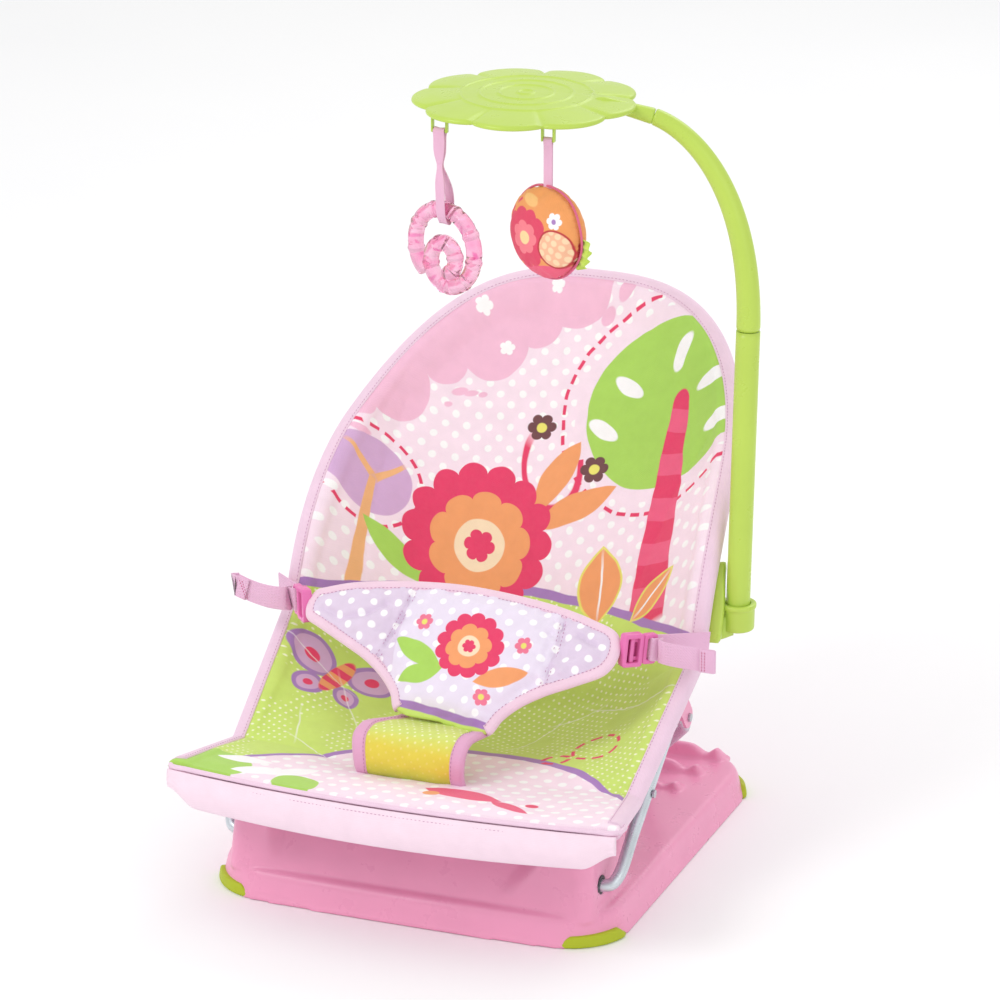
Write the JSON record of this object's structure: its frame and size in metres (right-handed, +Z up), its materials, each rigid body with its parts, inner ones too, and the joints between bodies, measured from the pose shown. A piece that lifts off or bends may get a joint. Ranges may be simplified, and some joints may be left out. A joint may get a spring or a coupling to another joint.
{
  "type": "bouncer seat",
  "caption": "Infant bouncer seat: padded fabric hammock on a bent steel tube frame in a moulded tray base, with lap restraint, kickstand and a lift-off toy bar carrying hanging toys.",
  "frame": {"origin": "on the floor under the middle of the seat's bounding box", "axes": "+Z up, +Y towards the top of the backrest, +X to the side that carries the toy bar"},
  "size_m": [0.513, 0.6356, 0.7654],
  "materials": {
    "base_plastic": "satin moulded plastic",
    "foot_rubber": "matt rubber",
    "dark_plastic": "moulded",
    "steel_tube": "silver powder coat",
    "zinc_fastener": "zinc plated",
    "brass": "machined",
    "green_plastic": "satin moulded plastic",
    "cover_fabric": "printed woven polyester, padded",
    "crotch_fabric": "woven polyester, bound edge",
    "hem_fabric": "woven polyester",
    "pad_fabric": "quilted woven polyester",
    "buckle_plastic": "moulded acetal",
    "webbing": "woven webbing",
    "teether_plastic": "clear tinted, liquid filled",
    "plush_fabric": "short pile"
  },
  "bodies": {
    "base": {"base_shell": "base_plastic", "foot_pad_front_left": "foot_rubber", "foot_pad_front_right": "foot_rubber", "foot_pad_rear_left": "foot_rubber", "foot_pad_rear_right": "foot_rubber", "pivot_bush_left": "dark_plastic", "pivot_bush_right": "dark_plastic", "vibration_housing": "dark_plastic", "vibration_motor": "zinc_fastener", "battery_cell": "zinc_fastener", "battery_door": "base_plastic", "battery_door_screw": "zinc_fastener"},
    "vibration_rotor": {"eccentric_weight": "brass"},
    "power_switch": {"power_switch": "green_plastic"},
    "seat_frame": {"side_tube_left": "steel_tube", "side_tube_right": "steel_tube", "arch_tube": "steel_tube", "tube_plug_left": "zinc_fastener", "tube_plug_right": "zinc_fastener", "pivot_cap_left": "dark_plastic", "pivot_cap_right": "dark_plastic", "front_rail": "steel_tube", "rail_rivet_left": "zinc_fastener", "rail_rivet_right": "zinc_fastener", "kickstand_bracket_left": "base_plastic", "kickstand_bracket_right": "base_plastic", "kickstand_pin_left": "zinc_fastener", "kickstand_pin_right": "zinc_fastener", "seat_cover": "cover_fabric", "back_cover": "cover_fabric", "front_hem": "hem_fabric", "toy_bar_socket": "green_plastic", "socket_screw": "zinc_fastener", "lap_pad": "pad_fabric", "crotch_strap": "crotch_fabric", "buckle_socket_left": "buckle_plastic", "buckle_socket_right": "buckle_plastic"},
    "kickstand": {"kickstand_tube": "steel_tube"},
    "toy_bar": {"toy_bar_post": "green_plastic", "toy_bar_arch": "green_plastic", "toy_bar_plug": "green_plastic", "flower_canopy": "green_plastic"},
    "teether": {"teether_ribbon": "webbing", "teether_ring": "teether_plastic"},
    "plush": {"plush_ribbon": "webbing", "plush_disc": "plush_fabric"},
    "left_buckle": {"buckle_prong_left": "buckle_plastic", "side_webbing_left": "webbing", "webbing_tail_left": "webbing"},
    "right_buckle": {"buckle_prong_right": "buckle_plastic", "side_webbing_right": "webbing", "webbing_tail_right": "webbing"}
  },
  "joints": [
    {"name": "seat_lift", "type": "hinge", "parent": "base", "child": "seat_frame", "pos_m": [0, -0.207, 0.052], "axis": [1, 0, 0], "range_deg": [0, 10]},
    {"name": "kickstand_swing", "type": "hinge", "parent": "seat_frame", "child": "kickstand", "pos_m": [0, -0.031, 0.165], "axis": [1, 0, 0], "range_deg": [0, 50]},
    {"name": "toy_bar_lift", "type": "slide", "parent": "seat_frame", "child": "toy_bar", "axis": [0, 0.0611, 0.9981], "range_m": [0, 0.03]},
    {"name": "teether_swing", "type": "hinge", "parent": "toy_bar", "child": "teether", "pos_m": [-0.038, -0.049, 0.747], "axis": [1, 0, 0], "range_deg": [-40, 40]},
    {"name": "plush_swing", "type": "hinge", "parent": "toy_bar", "child": "plush", "pos_m": [0.072, -0.043, 0.747], "axis": [1, 0, 0], "range_deg": [-40, 40]},
    {"name": "left_buckle_release", "type": "slide", "parent": "seat_frame", "child": "left_buckle", "axis": [-0.6387, 0.7615, -0.1105], "range_m": [0, 0.026]},
    {"name": "right_buckle_release", "type": "slide", "parent": "seat_frame", "child": "right_buckle", "axis": [0.6387, 0.7615, -0.1105], "range_m": [0, 0.026]},
    {"name": "vibration_spin", "type": "hinge", "parent": "base", "child": "vibration_rotor", "pos_m": [0, -0.177, 0.064], "axis": [1, 0, 0], "continuous": true},
    {"name": "power_switch_slide", "type": "slide", "parent": "base", "child": "power_switch", "axis": [0, 1, 0], "range_m": [0, 0.006]}
  ]
}
